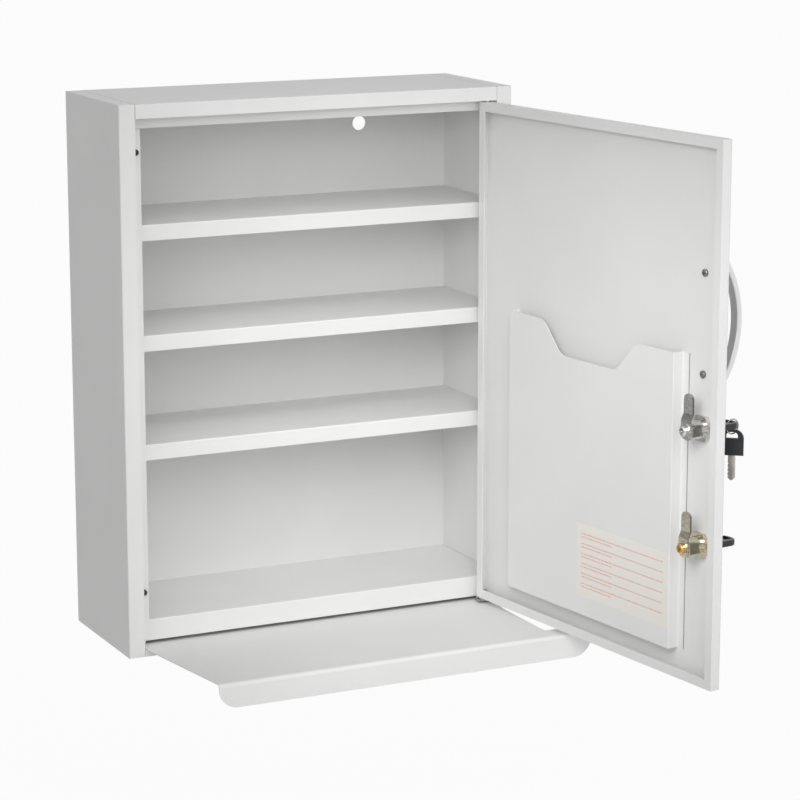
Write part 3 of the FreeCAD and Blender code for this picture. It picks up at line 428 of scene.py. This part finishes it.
class CABINET_OT_finish_handle(bpy.types.Operator):
    """Finish the bow handle in drawn satin metal"""

    bl_idname = "cabinet.finish_handle"
    bl_label = "Finish handle"

    def execute(self, context):
        paint = context.scene.cabinet_paint
        drawn = (4, 4, 0.3)
        finish, shader = new_finish("handle_satin_metal", paint.handle_roughness, metallic=1.0)
        vary_colour(finish, shader, paint.handle_colour, shade=0.12, size=0.003, stretch=drawn)
        vary_roughness(finish, shader, paint.handle_roughness, spread=0.06, size=0.002, stretch=drawn)
        roughen(finish, shader, size=0.0008, height=0.00002, stretch=drawn)
        coat(finish, "door_handle")
        return {"FINISHED"}


class CABINET_OT_finish_locks(bpy.types.Operator):
    """Plate the two cam locks, the handle screws and the hinge pins"""

    bl_idname = "cabinet.finish_locks"
    bl_label = "Finish locks and pins"

    def execute(self, context):
        metal = context.scene.cabinet_metal
        bright = metal.plating_roughness
        across = (1, 1, 5)
        coat(plated("lock_nickel", metal.nickel_colour, bright, across), *UPPER_LOCK)
        coat(plated("lock_straw", metal.straw_colour, bright, across), *LOWER_LOCK)
        coat(plated("screw_yellow", metal.brass_colour, bright), "lower_lock_cam_screw")
        coat(plated("zinc_plate", metal.zinc_colour, metal.zinc_roughness), *ZINC_PARTS)
        coat(plated("screw_steel", metal.screw_colour, bright), "handle_screws")
        return {"FINISHED"}


class CABINET_OT_finish_keys(bpy.types.Operator):
    """Finish the key blades, heads and ring"""

    bl_idname = "cabinet.finish_keys"
    bl_label = "Finish keys"

    def execute(self, context):
        metal = context.scene.cabinet_metal
        along = (1, 1, 0.3)
        coat(plated("key_metal", metal.key_colour, metal.plating_roughness, along), *KEY_METAL)
        coat(moulded("key_head_black", metal.head_colour, roughness=0.34, specular=0.5), *KEY_HEADS)
        return {"FINISHED"}


class CABINET_OT_finish_small_parts(bpy.types.Operator):
    """Finish the rubber buffers, the nylon guides and the hinge washer"""

    bl_idname = "cabinet.finish_small_parts"
    bl_label = "Finish buffers and guides"

    def execute(self, context):
        metal = context.scene.cabinet_metal
        coat(moulded("buffer_rubber", metal.rubber_colour, roughness=0.7, specular=0.3), "door_buffers")
        coat(moulded("guide_nylon", metal.nylon_colour, roughness=0.45, specular=0.4), *NYLON_PARTS)
        return {"FINISHED"}


def door_space():
    """Place of the open door's own axes: X towards the hinge, Y into the cabinet when shut, Z up."""
    turn = Matrix.Rotation(DOOR_ANGLE, 4, "Z")
    return Matrix.Translation(Vector(DOOR_JOINT["pos_m"])) @ turn


def door_corners(name):
    """A part's corners along the open door's own axes."""
    back = door_space().inverted()
    return [back @ vertex.co for vertex in NODES[name].data.vertices]


def span(corners):
    """Lowest and highest corner of the box round some corners."""
    low = Vector(min(corner[axis] for corner in corners) for axis in range(3))
    high = Vector(max(corner[axis] for corner in corners) for axis in range(3))
    return low, high


def inner_face(name):
    """Span of a part's face towards the cabinet, along the open door's own axes."""
    corners = door_corners(name)
    inmost = max(corner.y for corner in corners)
    return span([corner for corner in corners if inmost - corner.y < FLAT_WITHIN])


def lock_side_edge(name):
    """Span of a part's edge towards the locks, along the open door's own axes."""
    corners = door_corners(name)
    outmost = min(corner.x for corner in corners)
    return span([corner for corner in corners if corner.x - outmost < FLAT_WITHIN])


def math_step(finish, operation, first, second=0):
    """One sum on a node output and a number or another output; returns its output."""
    node = add_node(finish, "ShaderNodeMath", operation=operation)
    for socket, value in zip(node.inputs, (first, second)):
        if isinstance(value, (int, float)):
            socket.default_value = value
        else:
            join(finish, value, socket)
    return node.outputs["Value"]


def ruled_share(finish, card, across, up, row):
    """One on a ruled line and none beside it, from the place on the card and the row's number."""
    fraction = math_step(finish, "FRACT", math_step(finish, "DIVIDE", up, card.rule_pitch))
    line = math_step(finish, "LESS_THAN", fraction, card.line_share)
    row_of_three = math_step(finish, "MODULO", math_step(finish, "ADD", row, ROWS_BELOW), RULE_ROWS)
    # Row 0 of each three is blank and row 1 is short, so the limits lie half-way between rows.
    kept = math_step(finish, "GREATER_THAN", row_of_three, 0.5)
    short = math_step(finish, "LESS_THAN", row_of_three, 1.5)
    half_width = card.width / 2 - card.margin
    half_height = card.height / 2 - card.margin
    inside_rows = math_step(finish, "LESS_THAN", math_step(finish, "ABSOLUTE", up), half_height)
    from_left = math_step(finish, "LESS_THAN", across, half_width)
    blank = math_step(finish, "MULTIPLY", short, card.blank_share * card.width)
    to_right = math_step(finish, "GREATER_THAN", across, math_step(finish, "SUBTRACT", blank, half_width))
    ruled = line
    for mask in (kept, inside_rows, from_left, to_right):
        ruled = math_step(finish, "MULTIPLY", ruled, mask)
    return ruled


def ink_share(finish, card, across, row):
    """How much ink a line holds along its length, a little worn."""
    ink = add_node(finish, "ShaderNodeTexNoise", Scale=2.2, Detail=1.0)
    spread = add_node(finish, "ShaderNodeCombineXYZ")
    join(finish, math_step(finish, "DIVIDE", across, card.rule_pitch), spread.inputs["X"])
    join(finish, row, spread.inputs["Y"])
    join(finish, spread.outputs["Vector"], ink.inputs["Vector"])
    limits = {"From Min": 0.35, "From Max": 0.65, "To Min": 0.45, "To Max": 0.9}
    worn = add_node(finish, "ShaderNodeMapRange", **limits)
    join(finish, ink.outputs["Fac"], worn.inputs["Value"])
    return worn.outputs["Result"]


def card_finish(card):
    """Off-white stock with rows of thin ruled lines in groups."""
    finish, shader = new_finish("notice_card", card.roughness)
    place = add_node(finish, "ShaderNodeTexCoord")
    parts = add_node(finish, "ShaderNodeSeparateXYZ")
    join(finish, place.outputs["Object"], parts.inputs["Vector"])
    across = parts.outputs["X"]
    up = parts.outputs["Z"]
    row = math_step(finish, "FLOOR", math_step(finish, "DIVIDE", up, card.rule_pitch))
    ruled = ruled_share(finish, card, across, up, row)
    share = math_step(finish, "MULTIPLY", ruled, ink_share(finish, card, across, row))
    mix = add_node(finish, "ShaderNodeMix", data_type="RGBA")
    # In a colour mix, inputs 6 and 7 and output 2 are the colours.
    mix.inputs[6].default_value = list(card.paper_colour) + [1]
    mix.inputs[7].default_value = list(card.rule_colour) + [1]
    join(finish, share, mix.inputs[0])
    join(finish, mix.outputs[2], shader.inputs["Base Color"])
    vary_roughness(finish, shader, card.roughness, spread=0.06, size=0.004)
    roughen(finish, shader, size=0.0006, height=0.00002)
    return finish


class CABINET_OT_add_notice_card(bpy.types.Operator):
    """Lay the blank ruled card on the pocket's face"""

    bl_idname = "cabinet.add_notice_card"
    bl_label = "Add notice card"

    def execute(self, context):
        card = context.scene.cabinet_card
        low, high = inner_face("door_pocket")
        mesh = bpy.data.meshes.new("notice_card")
        shape = bmesh.new()
        bmesh.ops.create_cube(shape, size=1.0)
        bmesh.ops.scale(shape, vec=(card.width, card.thickness, card.height), verts=shape.verts)
        ends = [(edge, edge.verts[0].co.y, edge.verts[1].co.y) for edge in shape.edges]
        corners = [edge for edge, first, second in ends if abs(first - second) > card.thickness / 2]
        bmesh.ops.bevel(shape, geom=corners, offset=card.corner, segments=4, affect="EDGES", profile=0.5)
        shape.to_mesh(mesh)
        shape.free()
        piece = bpy.data.objects.new("notice_card", mesh)
        context.scene.collection.objects.link(piece)
        centre = Vector((low.x + card.from_edge + card.width / 2, high.y + card.thickness / 2,
                         low.z + card.from_foot + card.height / 2))
        piece.matrix_world = door_space() @ Matrix.Translation(centre)
        mesh.materials.append(card_finish(card))
        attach(piece, "door")
        return {"FINISHED"}


class CABINET_OT_add_spot_welds(bpy.types.Operator):
    """Add the small weld marks along the shelves' back edges"""

    bl_idname = "cabinet.add_spot_welds"
    bl_label = "Add spot welds"

    def execute(self, context):
        welds = context.scene.cabinet_welds
        shape = bmesh.new()
        for name in SHELVES:
            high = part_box(name)[1]
            outer = high.x - welds.near_end
            for across in (outer, outer - welds.spacing, -outer, welds.spacing - outer):
                bead = bmesh.ops.create_icosphere(shape, subdivisions=2, radius=welds.radius)
                bmesh.ops.scale(shape, vec=(1, 1, welds.height / welds.radius), verts=bead["verts"])
                place = (across, high.y - 2 * welds.radius, high.z)
                bmesh.ops.translate(shape, vec=place, verts=bead["verts"])
        mesh = bpy.data.meshes.new("spot_welds")
        shape.to_mesh(mesh)
        shape.free()
        mesh.shade_smooth()
        mesh.materials.append(bpy.data.materials["white_powder_coat"])
        piece = bpy.data.objects.new("spot_welds", mesh)
        context.scene.collection.objects.link(piece)
        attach(piece, "cabinet")
        return {"FINISHED"}


def face_edge(name):
    """Inner edge of a side panel's top flange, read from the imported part."""
    corners = [vertex.co for vertex in NODES[name].data.vertices]
    top = max(corner.z for corner in corners)
    return min(corner.x for corner in corners if top - corner.z < FLAT_WITHIN)


def painted_shade_strips(context, name, size, places, finish):
    """Thin strips of painted shade, of one size at some places, as one piece."""
    shape = bmesh.new()
    for place in places:
        strip = bmesh.ops.create_cube(shape, size=1.0)
        bmesh.ops.scale(shape, vec=size, verts=strip["verts"])
        bmesh.ops.translate(shape, vec=place, verts=strip["verts"])
    mesh = bpy.data.meshes.new(name)
    shape.to_mesh(mesh)
    shape.free()
    mesh.materials.append(finish)
    piece = bpy.data.objects.new(name, mesh)
    context.scene.collection.objects.link(piece)
    return piece


class CABINET_OT_add_seams(bpy.types.Operator):
    """Fill the seams beside the top panel and the door pocket with a dark line of painted shade"""

    bl_idname = "cabinet.add_seams"
    bl_label = "Add seams"

    def execute(self, context):
        welds = context.scene.cabinet_welds
        low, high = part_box("top_panel")
        gap = face_edge("right_side_panel") - high.x
        # The strips are painted shade: a dark colour standing in for the shadow inside the narrow seams.
        finish, shader = new_finish("seam_painted_shade", welds.seam_roughness)
        vary_colour(finish, shader, welds.seam_shade_colour, shade=0.3, size=0.004)
        vary_roughness(finish, shader, welds.seam_roughness, spread=0.1, size=0.004)
        size = (gap, high.y - low.y, welds.seam_depth)
        level = high.z - welds.seam_sink_share * welds.seam_depth
        places = [(sign * (high.x + gap / 2), (low.y + high.y) / 2, level) for sign in (-1, 1)]
        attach(painted_shade_strips(context, "top_seam_shade", size, places, finish), "cabinet")
        # A dark strip of painted shade along the pocket's lock-side edge, for the shadow of its flange.
        low, high = lock_side_edge("door_pocket")
        size = (welds.pocket_seam_width, welds.seam_depth, high.z - low.z)
        place = (low.x - size[0] / 2, low.y + size[1] / 2, (low.z + high.z) / 2)
        pocket_shade_line = painted_shade_strips(context, "pocket_shade_line", size, [place], finish)
        pocket_shade_line.matrix_world = door_space()
        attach(pocket_shade_line, "door")
        return {"FINISHED"}


def softbox(context, name, place, aim, size, power, spread=math.pi):
    """A soft lamp that the camera doesn't see, turned to look at a point."""
    light = bpy.data.lights.new(name, "AREA")
    light.shape = "RECTANGLE"
    light.size, light.size_y = size
    light.energy = power
    light.spread = spread
    lamp = bpy.data.objects.new(name, light)
    context.scene.collection.objects.link(lamp)
    lamp.visible_camera = False
    lamp.location = place
    lamp.rotation_euler = (aim - place).to_track_quat("-Z", "Y").to_euler()


def white_to_viewer(tree):
    """One for rays from the camera, and for rays reflected or sent through to it; returns the output."""
    path = tree.nodes.new("ShaderNodeLightPath")
    total = path.outputs["Is Camera Ray"]
    for name in ("Is Glossy Ray", "Is Transmission Ray"):
        most = tree.nodes.new("ShaderNodeMath")
        most.operation = "MAXIMUM"
        tree.links.new(total, most.inputs[0])
        tree.links.new(path.outputs[name], most.inputs[1])
        total = most.outputs["Value"]
    return total


class CABINET_OT_set_stage(bpy.types.Operator):
    """Set the white floor, the soft lights and the camera"""

    bl_idname = "cabinet.set_stage"
    bl_label = "Set stage"

    def execute(self, context):
        stage = context.scene.cabinet_stage
        context.scene.view_settings.view_transform = "Standard"
        self.light_world(context, stage)
        self.lay_floor(context, stage)
        middle = (CAD_BOX[0] + CAD_BOX[1]) / 2
        height = Vector((0, 0, middle.z))
        softbox(context, "door_softbox", height + stage.door_place, height + stage.door_aim,
                stage.door_size, stage.door_power, stage.door_spread)
        softbox(context, "shelf_softbox", height + stage.shelf_place, height + stage.shelf_aim,
                stage.shelf_size, stage.shelf_power, stage.shelf_spread)
        softbox(context, "side_softbox", height + stage.side_place, middle,
                stage.side_size, stage.side_power)
        self.set_camera(context, stage)
        return {"FINISHED"}

    def light_world(self, context, stage):
        """Soft light, stronger from the front half, and plain white for the viewer."""
        world = bpy.data.worlds.new("studio_white")
        world.use_nodes = True
        context.scene.world = world
        tree = world.node_tree
        ground = tree.nodes["Background"]
        ground.inputs["Color"].default_value = (1, 1, 1, 1)
        heading = tree.nodes.new("ShaderNodeTexCoord")
        parts = tree.nodes.new("ShaderNodeSeparateXYZ")
        tree.links.new(heading.outputs["Generated"], parts.inputs["Vector"])
        front = tree.nodes.new("ShaderNodeMapRange")
        front.interpolation_type = "SMOOTHSTEP"
        front.inputs["From Min"].default_value = stage.front_start
        front.inputs["From Max"].default_value = stage.front_full
        front.inputs["To Min"].default_value = stage.sky_level
        front.inputs["To Max"].default_value = stage.sky_level + stage.front_level
        tree.links.new(parts.outputs["Y"], front.inputs["Value"])
        level = tree.nodes.new("ShaderNodeMix")
        # White to the viewer, at a strength of 1.
        level.inputs[3].default_value = 1.0
        tree.links.new(white_to_viewer(tree), level.inputs[0])
        tree.links.new(front.outputs["Result"], level.inputs[2])
        tree.links.new(level.outputs[0], ground.inputs["Strength"])

    def lay_floor(self, context, stage):
        """A wide pale floor that keeps a little of the cabinet's shadow and is clear from below."""
        mesh = bpy.data.meshes.new("studio_floor")
        shape = bmesh.new()
        bmesh.ops.create_grid(shape, x_segments=1, y_segments=1, size=stage.floor_reach)
        shape.to_mesh(mesh)
        shape.free()
        floor = bpy.data.objects.new("studio_floor", mesh)
        context.scene.collection.objects.link(floor)
        floor.location.z = CAD_BOX[0].z - stage.floor_drop
        finish, shader = new_finish("studio_floor", stage.floor_roughness)
        shader.inputs["Base Color"].default_value = list(stage.floor_colour) + [1]
        tree = finish.node_tree
        glow = tree.nodes.new("ShaderNodeEmission")
        mix = tree.nodes.new("ShaderNodeMixShader")
        share = tree.nodes.new("ShaderNodeMath")
        share.operation = "MULTIPLY"
        share.inputs[1].default_value = 1 - stage.floor_shade
        tree.links.new(white_to_viewer(tree), share.inputs[0])
        tree.links.new(share.outputs["Value"], mix.inputs["Fac"])
        tree.links.new(shader.outputs["BSDF"], mix.inputs[1])
        tree.links.new(glow.outputs["Emission"], mix.inputs[2])
        clear = tree.nodes.new("ShaderNodeBsdfTransparent")
        facing = tree.nodes.new("ShaderNodeNewGeometry")
        one_sided = tree.nodes.new("ShaderNodeMixShader")
        tree.links.new(facing.outputs["Backfacing"], one_sided.inputs["Fac"])
        tree.links.new(mix.outputs["Shader"], one_sided.inputs[1])
        tree.links.new(clear.outputs["BSDF"], one_sided.inputs[2])
        tree.links.new(one_sided.outputs["Shader"], tree.nodes["Material Output"].inputs["Surface"])
        mesh.materials.append(finish)

    def set_camera(self, context, stage):
        """The photograph's viewing angle."""
        lens = bpy.data.cameras.new("photograph_view")
        lens.lens = stage.camera_lens
        lens.sensor_width = stage.camera_sensor
        camera = bpy.data.objects.new("photograph_view", lens)
        context.scene.collection.objects.link(camera)
        camera.location = stage.camera_place
        camera.rotation_euler = (math.pi / 2 - stage.camera_dip, 0, -stage.camera_turn)
        context.scene.camera = camera


STEPS = (CABINET_OT_coat_sheet_metal, CABINET_OT_finish_handle, CABINET_OT_finish_locks,
         CABINET_OT_finish_keys, CABINET_OT_finish_small_parts, CABINET_OT_add_notice_card,
         CABINET_OT_add_spot_welds, CABINET_OT_add_seams, CABINET_OT_set_stage)
SETTINGS = {"cabinet_paint": CabinetPaint, "cabinet_welds": CabinetWelds, "cabinet_metal": CabinetMetal,
            "cabinet_card": CabinetCard, "cabinet_stage": CabinetStage}


class CABINET_PT_finishes(bpy.types.Panel):
    """Steps and settings of the cabinet's finishes"""

    bl_label = "Medicine cabinet"
    bl_idname = "CABINET_PT_finishes"
    bl_space_type = "VIEW_3D"
    bl_region_type = "UI"
    bl_category = "Cabinet"

    def draw(self, context):
        for step in STEPS:
            self.layout.operator(step.bl_idname)
        for setting, group in SETTINGS.items():
            column = self.layout.column()
            for name in group.__annotations__:
                column.prop(getattr(context.scene, setting), name)


def register():
    for group in SETTINGS.values():
        bpy.utils.register_class(group)
    for step in STEPS:
        bpy.utils.register_class(step)
    bpy.utils.register_class(CABINET_PT_finishes)
    for setting, group in SETTINGS.items():
        setattr(bpy.types.Scene, setting, bpy.props.PointerProperty(type=group))


def unregister():
    for setting in SETTINGS:
        delattr(bpy.types.Scene, setting)
    bpy.utils.unregister_class(CABINET_PT_finishes)
    for step in reversed(STEPS):
        bpy.utils.unregister_class(step)
    for group in reversed(SETTINGS.values()):
        bpy.utils.unregister_class(group)


def main():
    register()
    bpy.ops.cabinet.coat_sheet_metal()
    bpy.ops.cabinet.finish_handle()
    bpy.ops.cabinet.finish_locks()
    bpy.ops.cabinet.finish_keys()
    bpy.ops.cabinet.finish_small_parts()
    bpy.ops.cabinet.add_notice_card()
    bpy.ops.cabinet.add_spot_welds()
    bpy.ops.cabinet.add_seams()
    bpy.ops.cabinet.set_stage()


if __name__ == "__main__":
    main()
